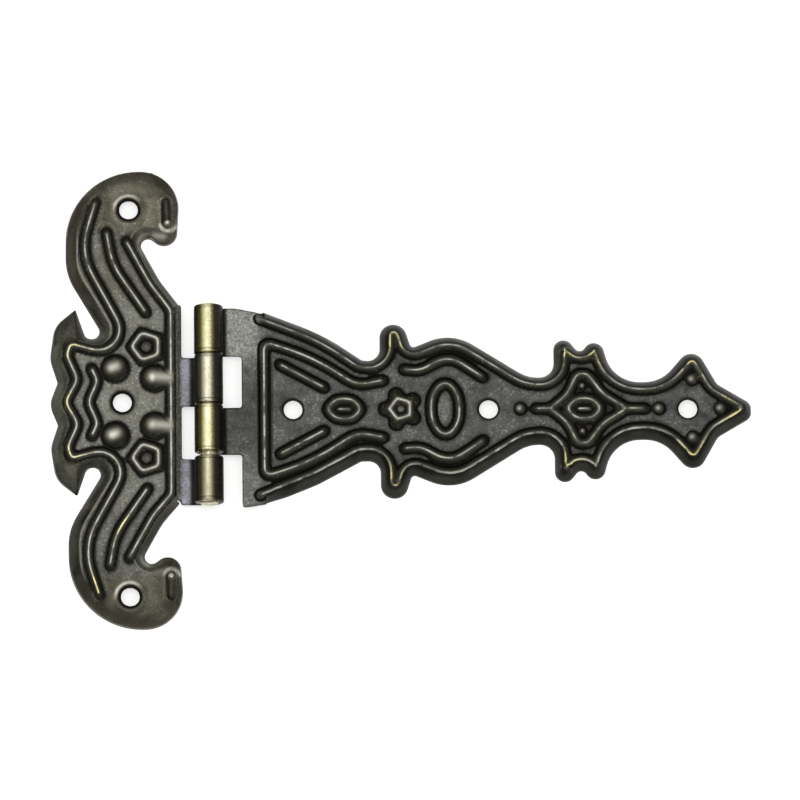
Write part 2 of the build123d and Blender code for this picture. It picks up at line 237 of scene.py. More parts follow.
def spot_reach(relief, spot):
    """How far each point lies from one spot, seen from the front."""
    return np.hypot(relief["x"] - spot[0], relief["y"] - spot[1])


def hole_reach(relief, holes):
    """How far each point lies from the middle of the nearest screw hole."""
    return np.min([spot_reach(relief, hole) for hole in holes], axis=0)


def along_stem(relief, start, end):
    """How far each point lies from a straight stem, and how far along it, from 0 to 1."""
    x, y = relief["x"], relief["y"]
    (x0, y0), (x1, y1) = start, end
    length = math.hypot(x1 - x0, y1 - y0)
    part = np.clip(((x - x0) * (x1 - x0) + (y - y0) * (y1 - y0)) / length**2, 0, 1)
    return np.hypot(x - x0 - part * (x1 - x0), y - y0 - part * (y1 - y0)), part


def read_relief(piece, lines):
    """Each point of a leaf's skin in mm, which way it faces and how it lies to the pressed lines."""
    count = len(piece.data.vertices)
    relief = {}
    for kind, names in (("co", "xyz"), ("normal", ("face_x", "face_y", "facing"))):
        values = np.zeros(count * 3, np.float32)
        piece.data.vertices.foreach_get(kind, values)
        relief.update(zip(names, values.reshape(-1, 3).T.astype(float)))
    for axis in "xyz":
        relief[axis] = relief[axis] / MM
    x, y, z, facing = (relief[name] for name in ("x", "y", "z", "facing"))
    relief["barrel"] = 1 - smooth_step(BARREL_REACH - 1.2, BARREL_REACH, np.abs(x - PIN_X))
    relief["front"] = smooth_step(0.0, 0.3, facing) * (1 - relief["barrel"])
    relief["inner"] = smooth_step(0.70, 0.84, facing)
    seen = relief["front"] > 0
    for kind in ("crest", "foot", "shoulder"):
        relief[kind] = np.full(count, FAR)
        if lines[kind]:
            reach = line_reach(np.column_stack((x, y))[seen], lines[kind])
            relief[kind][seen] = np.minimum(reach, FAR)
    relief["foot"] *= np.clip((z - FIELD - HEIGHT_SLACK) / LEVEL_SLACK, -1, 1)
    return relief


def raised_beads(relief):
    """Heights with the straight-sided ridges of the solid rounded into beads over a fine groove."""
    z, foot, crest, front = (relief[name] for name in ("z", "foot", "crest", "front"))
    width = np.abs(foot) + crest
    plain = width < 1.4 * BEAD_HALF
    by_width = np.abs(foot) / np.maximum(width, 0.01)
    by_height = np.clip((z - FIELD) / (CREST - FIELD), 0, 1)
    down = 1 - np.where(plain, by_width, by_height)
    rise = np.where(plain, np.minimum(BEAD_RISE, 0.6 * width), BEAD_RISE)
    round_top = np.sqrt(np.clip(1 - down**2, 0, 1))
    sharp_top = 1 - (np.sqrt(down**2 + TIP_ROUND) - TIP_LOW) / TIP_SPAN
    relief["crest"] = np.where(plain, crest, np.minimum(crest, 0.25 + down))
    bead = FIELD + rise * (0.5 * round_top + 0.5 * sharp_top)
    lifted = z + front * relief["inner"] * (z > FIELD + 0.01) * (bead - z)
    lifted -= front * relief["inner"] * GROOVE_DEPTH * bell(foot, GROOVE_HALF)
    slope = front * (1 - relief["inner"])
    part = np.clip(z / FIELD, 0, 1)
    return lifted + slope * EDGE_SWELL * part * (1 - part)


def keep_relief(piece, relief, lifted, marks):
    """Puts the heights on the skin and keeps its marks for the plating."""
    spots = np.column_stack((relief["x"], relief["y"], lifted)) * MM
    piece.data.vertices.foreach_set("co", spots.astype(np.float32).ravel())
    piece.data.update()
    for name, values in marks.items():
        layer = piece.data.attributes.new(name, "FLOAT", "POINT")
        layer.data.foreach_set("value", np.asarray(values, np.float32))


def deepen(marks, name, values):
    """Adds to a mark wherever the new values are stronger."""
    marks[name] = np.maximum(marks[name], values)


MARKS = "crest foot rim dark pale worn roll barrel rubbed yellow light blue warm faint".split()
KNUCKLE_LINE = 0.65
BARREL_FOOT = 3.9


def plating_marks(relief, holes, ring, knuckles, worn_spots):
    """Where the plating is darker round the holes and worn in spots, where shade is painted along the
    low edges, under the barrel and near the knuckles' ends, and how strong and yellow the knuckles'
    painted reflection is, as far as both leaves have it alike.
    """
    x, y, z, front, facing = (relief[name] for name in ("x", "y", "z", "front", "facing"))
    marks = {name: np.zeros(len(x)) for name in MARKS}
    marks["crest"] = relief["crest"]
    marks["foot"] = relief["foot"]
    edge_on = 0.5 - 0.5 * smooth_step(0.0, 0.3, facing)
    marks["rim"] = np.maximum(front * (1 - relief["inner"]), edge_on)
    marks["roll"] = x - PIN_X
    marks["barrel"] = relief["barrel"] * smooth_step(FIELD + 0.2, FIELD + 0.7, z)
    # Painted shade along the low edge of the sheet and up its turned-down slope
    deepen(marks, "dark", front * smooth_step(0.5, 0.15, z))
    deepen(marks, "dark", front * 0.5 * smooth_step(1.2, 0.3, z))
    deepen(marks, "dark", front * smooth_step(ring + 0.5, ring - 0.3, hole_reach(relief, holes)))
    # Painted shadow on the flat under and beside the barrel
    shade_under_barrel = smooth_step(BARREL_FOOT, BARREL_FOOT - 0.8, np.abs(x - PIN_X))
    deepen(marks, "dark", shade_under_barrel * below_roll(z))
    # How strong and how yellow each knuckle's painted reflection stripe is
    for low, high, rubbed, yellow in knuckles:
        on_knuckle = (y > low - 0.1) & (y < high + 0.1)
        deepen(marks, "rubbed", rubbed * on_knuckle)
        deepen(marks, "yellow", yellow * on_knuckle)
        # Thin lines of painted shade near both ends of each knuckle
        for end in (low + KNUCKLE_LINE, high - KNUCKLE_LINE):
            deepen(marks, "dark", relief["barrel"] * 0.75 * bell(y - end, 0.12))
    for a, b, reach in worn_spots:
        deepen(marks, "worn", 1 - smooth_step(0.3 * reach, reach, spot_reach(relief, (a, b))))
    return marks


def mottle_group():
    """Clouds of tone, fine specks, breaks in the worn crests and grain that all the plating shares."""
    group = bpy.data.node_groups.new("plating_mottle", "ShaderNodeTree")
    group.interface.new_socket("Place", in_out="INPUT", socket_type="NodeSocketVector")
    for name, scale in (("Cloud Scale", 240.0), ("Speck Scale", 2600.0), ("Break Scale", 500.0)):
        socket = group.interface.new_socket(name, in_out="INPUT", socket_type="NodeSocketFloat")
        socket.default_value = scale
    for name in ("Cloud", "Speck", "Break", "Grain"):
        group.interface.new_socket(name, in_out="OUTPUT", socket_type="NodeSocketFloat")
    given = group.nodes.new("NodeGroupInput")
    put_out = group.nodes.new("NodeGroupOutput")
    kinds = (
        ("Cloud", "Cloud Scale", 6, 0.34, 0.68),
        ("Speck", "Speck Scale", 4, 0.55, 0.74),
        ("Break", "Break Scale", 4, 0.30, 0.60),
        ("Grain", "Speck Scale", 5, 0.25, 0.75),
    )
    for name, scale, detail, low, high in kinds:
        noise = group.nodes.new("ShaderNodeTexNoise")
        noise.inputs["Detail"].default_value = detail
        group.links.new(given.outputs["Place"], noise.inputs["Vector"])
        group.links.new(given.outputs[scale], noise.inputs["Scale"])
        span = group.nodes.new("ShaderNodeMapRange")
        span.inputs["From Min"].default_value = low
        span.inputs["From Max"].default_value = high
        group.links.new(noise.outputs["Fac"], span.inputs["Value"])
        group.links.new(span.outputs["Result"], put_out.inputs[name])
    return group


# Pairs of tones run from dark to light.
FIELD_TONES = ((0.020, 0.0205, 0.0195), (0.190, 0.193, 0.184))
WARM_FIELD_TONES = ((0.060, 0.056, 0.040), (0.240, 0.228, 0.172))
BORDER_TONES = ((0.0235, 0.0235, 0.019), (0.066, 0.067, 0.054))
WARM_BORDER_TONES = ((0.056, 0.050, 0.034), (0.124, 0.110, 0.074))
LIGHT_TONES = ((0.090, 0.096, 0.086), (0.460, 0.475, 0.425))
BLUE_TONES = ((0.150, 0.153, 0.172), (0.330, 0.336, 0.376))
BEAD_TOP_TONE = (0.100, 0.101, 0.080)
BEAD_FOOT_TONE = (0.027, 0.0275, 0.021)
FIELD_SCUFF_TONE = (0.44, 0.455, 0.41)
BEAD_SCUFF_TONE = (0.30, 0.29, 0.23)
FIELD_SHADE_TONE = (0.030, 0.029, 0.025)
BORDER_SHADE_TONE = (0.016, 0.014, 0.010)
GROOVE_TONE = (0.010, 0.0095, 0.0075)
PATINA_AND_SHADE_TONE = (0.013, 0.0125, 0.0105)
CREST_WEAR_AND_HIGHLIGHT_TONE = (0.58, 0.585, 0.53)
WORN_TONE = (0.92, 0.84, 0.40)
WEAR_AND_HIGHLIGHT_TONE = (0.66, 0.64, 0.55)
KNUCKLE_TONE = (0.030, 0.026, 0.020)
KNUCKLE_SPECK_TONE = (0.16, 0.13, 0.08)
# Tones of the painted reflection across a knuckle: painted shade on both sides, a bright stripe a little
# left of the top
ROLL_HALF = 2.7
ROLL_REFLECTION_TONES = (
    (-ROLL_HALF, (0.030, 0.026, 0.022)),
    (-2.05, (0.052, 0.043, 0.028)),
    (-1.50, (0.200, 0.172, 0.052)),
    (-1.15, (0.700, 0.640, 0.280)),
    (-0.90, (0.980, 0.960, 0.620)),
    (0.25, (0.960, 0.920, 0.560)),
    (0.60, (0.360, 0.300, 0.130)),
    (1.05, (0.064, 0.052, 0.036)),
    (ROLL_HALF, (0.020, 0.019, 0.018)),
)


def antique_bronze(mottle):
    """Plating over both leaves: black in the grooves, olive on the beads, the crests worn through and
    painted with a highlight, and a painted reflection on the knuckles.
    """
    material = bpy.data.materials.new("antique_bronze")
    material.use_nodes = True
    nodes, links = material.node_tree.nodes, material.node_tree.links
    shader = nodes["Principled BSDF"]
    shader.inputs["Metallic"].default_value = 1.0
    place = nodes.new("ShaderNodeTexCoord")
    tones = nodes.new("ShaderNodeGroup")
    tones.node_tree = mottle
    links.new(place.outputs["Object"], tones.inputs["Place"])
    cloud, speck, broken, grain = (tones.outputs[name] for name in ("Cloud", "Speck", "Break", "Grain"))

    def mark(name):
        found = nodes.new("ShaderNodeAttribute")
        found.attribute_name = name
        return found.outputs["Fac"]

    def span(value, low, high, start=0.0, end=1.0):
        made = nodes.new("ShaderNodeMapRange")
        made.interpolation_type = "SMOOTHSTEP"
        for name, number in (("From Min", low), ("From Max", high), ("To Min", start), ("To Max", end)):
            made.inputs[name].default_value = number
        links.new(value, made.inputs["Value"])
        return made.outputs["Result"]

    def give(socket, value):
        if isinstance(value, tuple):
            socket.default_value = (*value, 1)
        elif isinstance(value, float):
            socket.default_value = value
        else:
            links.new(value, socket)

    def reckon(kind, *parts):
        made = nodes.new("ShaderNodeMath")
        made.operation = kind
        for socket, value in zip(made.inputs, parts):
            give(socket, value)
        return made.outputs["Value"]

    def blend(factor, first, second):
        made = nodes.new("ShaderNodeMix")
        made.data_type = "RGBA"
        for name, value in (("Factor", factor), ("A", first), ("B", second)):
            give(made.inputs[name], value)
        return made.outputs["Result"]

    crest, foot, worn, warm = mark("crest"), mark("foot"), mark("worn"), mark("warm")

    # The field between the beads, patchy, specked and darker towards each bead
    scuffed = reckon("MULTIPLY", speck, span(cloud, 0.2, 0.9, 0.10, 0.9))
    patchy = reckon("MULTIPLY_ADD", cloud, 0.52, reckon("MULTIPLY", grain, 0.2))
    patchy = reckon("MULTIPLY_ADD", broken, 0.28, patchy)
    field = blend(patchy, *FIELD_TONES)
    field = blend(warm, field, blend(patchy, *WARM_FIELD_TONES))
    field = blend(scuffed, field, FIELD_SCUFF_TONE)
    field = blend(span(foot, -1.0, -0.1, 0.0, 0.62), field, FIELD_SHADE_TONE)

    # The beads and the turned-down border
    flank = blend(span(crest, 0.10, 0.75), BEAD_TOP_TONE, BEAD_FOOT_TONE)
    flank = blend(reckon("MULTIPLY", scuffed, 0.5), flank, BEAD_SCUFF_TONE)
    border = blend(warm, blend(cloud, *BORDER_TONES), blend(cloud, *WARM_BORDER_TONES))
    border = blend(span(crest, 0.25, 0.8, 0.7, 0.0), border, BORDER_SHADE_TONE)
    colour = blend(span(foot, -0.05, 0.10), field, flank)
    colour = blend(mark("rim"), colour, border)
    colour = blend(mark("light"), colour, blend(grain, *LIGHT_TONES))
    colour = blend(mark("blue"), colour, blend(grain, *BLUE_TONES))

    # The knuckles, painted with a reflection: a bright stripe along the top of the roll, a little to the
    # left, and painted shade down its sides
    roll = nodes.new("ShaderNodeValToRGB")
    stops = roll.color_ramp.elements
    for at, tone in ROLL_REFLECTION_TONES:
        if abs(at) < ROLL_HALF:
            stop = stops.new(0.5 + at / (2 * ROLL_HALF))
        else:
            stop = stops[0] if at < 0 else stops[-1]
        stop.color = (*tone, 1)
    turn = reckon("ADD", mark("roll"), reckon("MULTIPLY_ADD", grain, 0.24, -0.12))
    links.new(reckon("MULTIPLY_ADD", turn, 0.5 / ROLL_HALF, 0.5), roll.inputs["Fac"])
    grey = nodes.new("ShaderNodeRGBToBW")
    links.new(roll.outputs["Color"], grey.inputs["Color"])
    knuckle_reflection = blend(mark("yellow"), grey.outputs["Val"], roll.outputs["Color"])
    knuckle_reflection = blend(mark("rubbed"), KNUCKLE_TONE, knuckle_reflection)
    knuckle_reflection = blend(reckon("MULTIPLY", speck, 0.5), knuckle_reflection, KNUCKLE_SPECK_TONE)
    colour = blend(mark("barrel"), colour, knuckle_reflection)

    # The grooves, patina and painted shade, the crests worn through in breaks with a painted highlight
    # along them, and the painted highlights of the other marks
    groove = span(reckon("ABSOLUTE", foot), 0.12, 0.30, 1.0, 0.0)
    groove = reckon("MULTIPLY", groove, reckon("SUBTRACT", 1.0, mark("faint")))
    colour = blend(groove, colour, GROOVE_TONE)
    # Patina in the hollows together with the painted shade
    colour = blend(mark("dark"), colour, PATINA_AND_SHADE_TONE)
    # Crests worn through in breaks, with a painted highlight along them
    crest_wear_and_highlight = span(reckon("MULTIPLY_ADD", broken, -0.10, crest), -0.02, 0.13, 1.0, 0.0)
    crest_wear_and_highlight = reckon("MULTIPLY", crest_wear_and_highlight, span(broken, 0.15, 0.8, 0.12, 1.0))
    crest_wear_and_highlight = reckon("MULTIPLY", crest_wear_and_highlight, reckon("MAXIMUM", worn, span(cloud, 0.1, 0.8, 0.35, 1.0)))
    colour = blend(crest_wear_and_highlight, colour, blend(worn, CREST_WEAR_AND_HIGHLIGHT_TONE, WORN_TONE))
    # Painted highlights, with some wear, where the paler marks lie
    colour = blend(mark("pale"), colour, WEAR_AND_HIGHLIGHT_TONE)
    links.new(colour, shader.inputs["Base Color"])
    links.new(span(cloud, 0.0, 1.0, 0.32, 0.48), shader.inputs["Roughness"])
    bump = nodes.new("ShaderNodeBump")
    bump.inputs["Strength"].default_value = 0.4
    bump.inputs["Distance"].default_value = 0.04 * MM
    links.new(grain, bump.inputs["Height"])
    links.new(bump.outputs["Normal"], shader.inputs["Normal"])
    return material


BUTT_HOLES = [(0, 0), (1.3, 36.7), (1.3, -36.7)]
BUTT_RING = 2.35
BUTT_KNUCKLES = [(-0.8, 8.5, 0.85, 0.6), (-19.45, -10.75, 0.5, 0.85)]  # ends, how strong and how yellow the painted reflection stripe is
# Worn and scuffed spots, each with how far it reaches
BUTT_WORN = [(-9.9, 10.6, 4), (-9.9, -10.6, 4), (-4.5, -34.8, 4), (0.0, -23.5, 4), (-10.2, 0, 3)]
BUTT_SCUFFED = [
    (-3.4, 0.4, 2.2),
    (4.1, -1.0, 2.2),
    (0.3, 16.0, 2.4),
    (6.8, 15.6, 2.0),
    (3.0, 4.6, 1.8),
    (2.0, -16.5, 2.0),
]
BALL_R = 2.5
BALL_RISE = 1.15
FREE_BALL = (-1.3, 6.35)
STEM_BALL = (5.95, 4.55)
STEM_START_X = 7.9
STEM_END_X = 9.4
STEM_R = 0.8
STEM_RISE = 0.65
STEM_FADE = (10.0, 9.2)
BALL_GLINT = ((-2.1, 0.1), (-1.1, 0.45))
BALL_GLINT_HALF = 0.85
STEM_GLINT = ((5.6, 0.25), (8.6, 0.2))
STEM_GLINT_HALF = 0.9
BUTT_ROSETTE = (4.45, 10.55)
EYES = [((8.6, 34.2), (8.2, 38.2)), ((9.0, -32.8), (8.9, -36.6))]  # dome and tail of each eye
EYE_REACH = 1.25
EYE_TAPER = 0.4
BEAK_RING = 1.45
HOLE_LIP = 2.7
NOTCH = (4.6, 30.9)
NOTCH_REACH = 2.3
CHEEK = ((5.9, 32.0), (7.7, 31.7))
TAB_X = 10.2
HEAD_SMOOTHING = 220
EDGE_SMOOTHING = 120
EAR_SMOOTHING = 160

butt_lines = pressed_lines("butt_leaf")
butt = pressed_skin("butt_leaf_plated", "butt_leaf", butt_lines["outline"])
relief = read_relief(butt, butt_lines)
lifted = raised_beads(relief)
x, y, z, front = (relief[name] for name in ("x", "y", "z", "front"))
aside = np.abs(y)

# The balls, of which the two beside the barrel are drawn out into stems
ball_highlight = np.zeros(len(x))
for side in (1, -1):
    ball_y, stem_y = side * FREE_BALL[1], side * STEM_BALL[1]
    free = spot_reach(relief, (FREE_BALL[0], ball_y))
    away, part = along_stem(relief, (STEM_BALL[0], stem_y), (STEM_END_X, stem_y))
    stem_r = BALL_R + (STEM_R - BALL_R) * part
    stem_rise = BALL_RISE + (STEM_RISE - BALL_RISE) * part
    for reach, radius, rise in ((free, BALL_R, BALL_RISE), (away, stem_r, stem_rise)):
        dome = FIELD + rise * np.sqrt(np.clip(1 - (reach / radius) ** 2, 0, 1))
        share = front * smooth_step(0.05, -0.05, reach - radius) * smooth_step(*STEM_FADE, x)
        lifted = lifted + share * (np.maximum(dome, lifted) - lifted)
        nearer = (np.abs(radius - reach) < np.abs(relief["foot"])) | (reach < radius)
        nearer &= x < STEM_START_X
        relief["foot"] = np.where(nearer, np.clip(radius - reach, -FAR, FAR), relief["foot"])
        on_ball = share * (x < STEM_START_X) > 0.5
        relief["crest"] = np.where(on_ball, 0.25 + reach / radius, relief["crest"])
    # A painted glint on each ball and a painted highlight streak along each stem
    lit = along_stem(relief, *((a, ball_y + b) for a, b in BALL_GLINT))[0] / BALL_GLINT_HALF
    stem_highlight = along_stem(relief, *((a, stem_y + b) for a, b in STEM_GLINT))[0] / STEM_GLINT_HALF
    ball_highlight = np.maximum(ball_highlight, bell(np.minimum(lit, stem_highlight), 1))

# The heads, domed and plain, with a painted highlight on the lip on one side of each hole
marks = plating_marks(relief, BUTT_HOLES, BUTT_RING, BUTT_KNUCKLES, BUTT_WORN)
head = np.maximum(smooth_step(30, 35, aside), smooth_step(25, 29, aside) * smooth_step(4, 7, x))
for hole in BUTT_HOLES[1:]:
    reach = spot_reach(relief, hole)
    towards = (0.4 * (hole[0] - x) + 0.92 * (y - hole[1])) / np.maximum(reach, 0.1)
    deepen(marks, "pale", 0.75 * smooth_step(0.1, 0.9, towards) * bell(reach - HOLE_LIP, 0.26))
loose = front * head * smooth_step(2.6, 3.8, hole_reach(relief, BUTT_HOLES))
loose *= smooth_step(0.2, 1.0, -relief["foot"])

# The eyes, each a dark drop-shaped recess with a small dome over the beak, a painted glint on the dome
# and a painted highlight crescent on the beak below it
for dome_spot, tail_spot in EYES:
    away, part = along_stem(relief, dome_spot, tail_spot)
    from_dome = spot_reach(relief, dome_spot)
    recess = smooth_step(1.1, 0.85, away / (EYE_REACH - EYE_TAPER * part))
    recess *= 1 - smooth_step(0.8, 0.55, from_dome)
    loose *= 1 - smooth_step(1.5, 1.2, away)
    deepen(marks, "dark", front * (0.9 - 0.35 * smooth_step(0.5, 0.0, away)) * recess)
    # Painted highlight crescent on the beak below the dome
    below = smooth_step(-0.3, 0.9, (dome_spot[1] - y) * np.sign(dome_spot[1]))
    deepen(marks, "pale", front * below * bell(from_dome - BEAK_RING, 0.32))
    # Painted glint on the dome
    glint = spot_reach(relief, (dome_spot[0] - 0.1, dome_spot[1] + 0.15))
    deepen(marks, "pale", front * smooth_step(0.55, 0.2, glint))
lifted = lifted + loose * (neighbour_mean(butt, lifted, HEAD_SMOOTHING) - lifted)

# The turned-down edge, softer and lighter round the heads, with painted shade on its slopes that face +y
# and on the heads' own edges
edge_side = neighbour_mean(butt, 1 - relief["inner"], EDGE_SMOOTHING)
soft_rim = marks["rim"] + head * (0.5 * edge_side - marks["rim"])
marks["rim"] = np.where(front > 0.5, soft_rim, marks["rim"])
marks["faint"] = front * (0.3 + 0.3 * smooth_step(24, 34, aside))
# Painted shade on the edge's slopes that face +y, away from the heads
shaded_side = front * smooth_step(0.2, 0.6, relief["face_y"]) * (1 - relief["inner"])
deepen(marks, "dark", 0.4 * (1 - head) * shaded_side)
marks["dark"] *= 1 - 0.6 * head * front * smooth_step(0.0, 0.4, z) * smooth_step(1.6, 1.2, z)
# Painted shade on the heads' turned-down edges
deepen(marks, "dark", 0.25 * head * front * edge_side)
marks["dark"] *= 1 - smooth_step(TAB_X, TAB_X + 0.5, x) * (np.abs(x - PIN_X) > BARREL_FOOT)

# The ears, smooth points at the outer corners
ears = front * smooth_step(10.9, 11.6, aside) * smooth_step(-8.4, -9.2, x) * (aside < 20)
lifted = lifted + ears * (neighbour_mean(butt, lifted, EAR_SMOOTHING) - lifted)
deepen(marks, "dark", 0.1 * ears)
deepen(marks, "rim", ears)
marks["foot"] = np.where(ears > 0, FAR, marks["foot"])
marks["foot"] = np.where((x > 9.6) & (front > 0), np.maximum(marks["foot"], 0.5), marks["foot"])

# Tones that differ over the leaf: warm heads, bluish tabs, a scuffed middle
on_field = front * (relief["foot"] < -0.25)
marks["warm"] = front * np.maximum(head, np.where(y > -20, 0.6, 0.25))
marks["blue"] = smooth_step(10.6, 11.4, x) * below_roll(z)
marks["light"] = 0.3 * front * smooth_step(8.9, 9.8, x)
deepen(marks, "light", 0.22 * on_field * smooth_step(22, 17, aside))
deepen(marks, "dark", 0.4 * front * head * (y < 0))
# Paler crests over most of the leaf, as wear and painted highlight
deepen(marks, "pale", 0.45 * front * bell(relief["crest"], 0.12) * (aside < 26))
for a, b, reach in BUTT_SCUFFED:
    deepen(marks, "light", 0.5 * on_field * bell(spot_reach(relief, (a, b)), reach))

# The notch under each beak, where the edge and the cheek are paler
for side in (1, -1):
    notch = front * bell(spot_reach(relief, (NOTCH[0], side * NOTCH[1])), NOTCH_REACH)
    marks["rim"] *= 1 - notch
    marks["dark"] *= 1 - 0.8 * notch * smooth_step(0.2, 0.6, z)
    deepen(marks, "pale", (0.5 + 0.1 * side) * notch * bell(z - 0.75, 0.3))
    cheek = along_stem(relief, *((a, side * b) for a, b in CHEEK))[0]
    deepen(marks, "pale", (0.45 + 0.2 * side) * front * bell(cheek, 0.55))

# Painted highlights along the shoulder line and on the tops of the balls, and the rosettes, paler on
# their crests as wear and painted highlight, paler in the middle and dark round it
shoulder_highlight = bell(relief["shoulder"], 0.09) * smooth_step(11, 15, aside)
deepen(marks, "pale", 0.7 * front * shoulder_highlight * (1 - head) * (1 - ears))
deepen(marks, "pale", 0.9 * front * ball_highlight)
for side in (1, -1):
    reach = spot_reach(relief, (BUTT_ROSETTE[0], side * BUTT_ROSETTE[1]))
    deepen(marks, "pale", 0.6 * front * smooth_step(3.4, 3.0, reach) * bell(relief["crest"], 0.22))
    deepen(marks, "pale", 0.22 * front * smooth_step(0.9, 0.5, reach))
    deepen(marks, "dark", 0.7 * front * bell(reach - 1.15, 0.25))
keep_relief(butt, relief, lifted, marks)
mottle = mottle_group()
bronze = antique_bronze(mottle)
butt.data.materials.append(bronze)
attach(butt, "butt")
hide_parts("butt_leaf")

# Strap leaf, the long leaf that carries the door: pressed from the same sheet in
# the same way, with its border bead drawn right along the turned-down edge and
# its two tabs rolled round the pin between the other leaf's.
STRAP_MID = -1.4
STRAP_HOLES = [(along, STRAP_MID) for along in (31.6, 67.85, 104.85)]
STRAP_RING = 2.05
STRAP_KNUCKLES = [(8.7, 17.9, 0.94, 1.0), (-9.9, -1.0, 1.0, 1.0)]
STRAP_DOTS = [
    (73.7, STRAP_MID, 1.2),
    (99.45, STRAP_MID, 1.2),
    (110.85, STRAP_MID, 1.2),
    (105.65, STRAP_MID + 5.5, 1.2),
    (105.65, STRAP_MID - 5.5, 1.2),
    (85.25, STRAP_MID + 4.3, 0.75),
    (85.25, STRAP_MID - 4.3, 0.75),
]
STRAP_WORN = [
    (49.7, 12.0, 5),
    (49.4, -15.0, 5),
    (82.2, 9.8, 5),
    (88.0, 9.0, 4),
    (81.8, -12.3, 5),
    (106.2, 7.6, 5),
    (105.8, -10.2, 5),
    (114.6, STRAP_MID, 6),
]
STRAP_FLOWER = (51.55, STRAP_MID)
STANDING_OVAL_X = 59.4
STANDING_OVAL_HALF = (1.5, 3.4)
STAR_X = 86.0
STAR_HALF = (6.5, 6.2)
ROOT_X = 26.2
ROOT_MARGIN = 1.25
UPPER_MARGIN_Y = 16.35
LOWER_MARGIN_Y = -18.15
UPPER_EASE = 0.75
LOWER_EASE = 0.4
BORDER_EASE = 0.36

strap_lines = pressed_lines("strap_leaf")
strap = pressed_skin("strap_leaf_plated", "strap_leaf", strap_lines["outline"])
relief = read_relief(strap, strap_lines)
x, y, z, front = (relief[name] for name in ("x", "y", "z", "front"))
marks = plating_marks(relief, STRAP_HOLES, STRAP_RING, STRAP_KNUCKLES, STRAP_WORN)

# The plain root beside the barrel, paler towards its ends and darker in the middle, partly a painted
# reflection and partly polish
root = smooth_step(ROOT_X, ROOT_X - 1.4, x) * below_roll(z)
marks["light"] = root * (0.04 + 0.88 * smooth_step(6, 10, y) + 0.3 * smooth_step(-11, -15, y))
deepen(marks, "dark", 0.4 * root * smooth_step(9, 5, np.abs(y + 3)))

# The field, dark in the star and paler in the standing oval, with painted shade along the border's low
# edge and on its slopes that face +y
shaded_side = smooth_step(0.2, 0.6, relief["face_y"]) * (1 - relief["inner"])
deepen(marks, "dark", 0.6 * front * np.maximum(shaded_side, smooth_step(1.7, 0.4, z)))
oval = np.hypot((x - STANDING_OVAL_X) / STANDING_OVAL_HALF[0], (y - STRAP_MID) / STANDING_OVAL_HALF[1])
marks["light"] += 0.4 * front * smooth_step(1.0, 0.6, oval) * (relief["foot"] < -0.2)
star = np.abs(x - STAR_X) / STAR_HALF[0] + np.abs(y - STRAP_MID) / STAR_HALF[1]
deepen(marks, "dark", 0.65 * front * smooth_step(1.0, 0.8, star) * (relief["foot"] < 0))
deepen(marks, "dark", 0.12 * front)

# The dots and the flower, each with a small painted glint
for a, b, size in STRAP_DOTS:
    reach = spot_reach(relief, (a, b)) / size
    marks["crest"] = np.where(reach < 1, 0.25 + 0.5 * reach, marks["crest"])
    glint = spot_reach(relief, (a - 0.15 * size, b + 0.15 * size)) / size
    deepen(marks, "pale", 0.5 * front * bell(glint, 0.42))
reach = spot_reach(relief, STRAP_FLOWER)
deepen(marks, "pale", 0.35 * front * smooth_step(0.7, 0.3, reach))
deepen(marks, "pale", 0.55 * front * smooth_step(2.6, 2.2, reach) * bell(relief["crest"], 0.2))

# The corners of the root, eased until their edge runs on into the border's
sheet_edge = smooth_step(0.6, 1.1, z)
upper_margin = np.clip((y - UPPER_MARGIN_Y) / ROOT_MARGIN, 0, 1)
upper_corner = upper_margin * smooth_step(20.0, ROOT_X, x) * smooth_step(27.0, 26.6, x)
lower_corner = np.clip((LOWER_MARGIN_Y - y) / ROOT_MARGIN, 0, 1) * smooth_step(ROOT_X, 22.3, x)
lower_border = (x > 25.9) * (y < -15) * smooth_step(31.0, 26.4, x) * np.clip(1 - z / 1.6, 0, 1)
corner_dark = smooth_step(0.0, 0.3, upper_margin) * smooth_step(25.0, 25.6, x) * (x < 26.5)
deepen(marks, "dark", 0.6 * corner_dark)
eased = sheet_edge * (UPPER_EASE * upper_corner + LOWER_EASE * lower_corner)
relief["y"] = y - eased + BORDER_EASE * lower_border
keep_relief(strap, relief, raised_beads(relief), marks)
strap.data.materials.append(bronze)
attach(strap, "strap")
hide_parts("strap_leaf")

# Hinge pin, a plain drawn steel rod pressed into the butt leaf's knuckles, its
# ends cut off square with the edge broken.
PIN_CLOUD_SCALE = 700
PIN_TONES = ((0.34, 0.30, 0.19, 1), (0.78, 0.72, 0.52, 1))
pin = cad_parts["hinge_pin"]
pin_steel = bpy.data.materials.new("pin_steel")
pin_steel.use_nodes = True
pin_nodes, pin_links = pin_steel.node_tree.nodes, pin_steel.node_tree.links
pin_shader = pin_nodes["Principled BSDF"]
pin_shader.inputs["Metallic"].default_value = 1.0
pin_shader.inputs["Roughness"].default_value = 0.35
pin_place = pin_nodes.new("ShaderNodeTexCoord")
pin_mottle = pin_nodes.new("ShaderNodeGroup")
pin_mottle.node_tree = mottle
pin_mottle.inputs["Cloud Scale"].default_value = PIN_CLOUD_SCALE
pin_links.new(pin_place.outputs["Object"], pin_mottle.inputs["Place"])
pin_blend = pin_nodes.new("ShaderNodeMix")
pin_blend.data_type = "RGBA"
pin_blend.inputs["A"].default_value, pin_blend.inputs["B"].default_value = PIN_TONES
pin_links.new(pin_mottle.outputs["Cloud"], pin_blend.inputs["Factor"])
pin_links.new(pin_blend.outputs["Result"], pin_shader.inputs["Base Color"])
pin.data.materials.clear()
pin.data.materials.append(pin_steel)

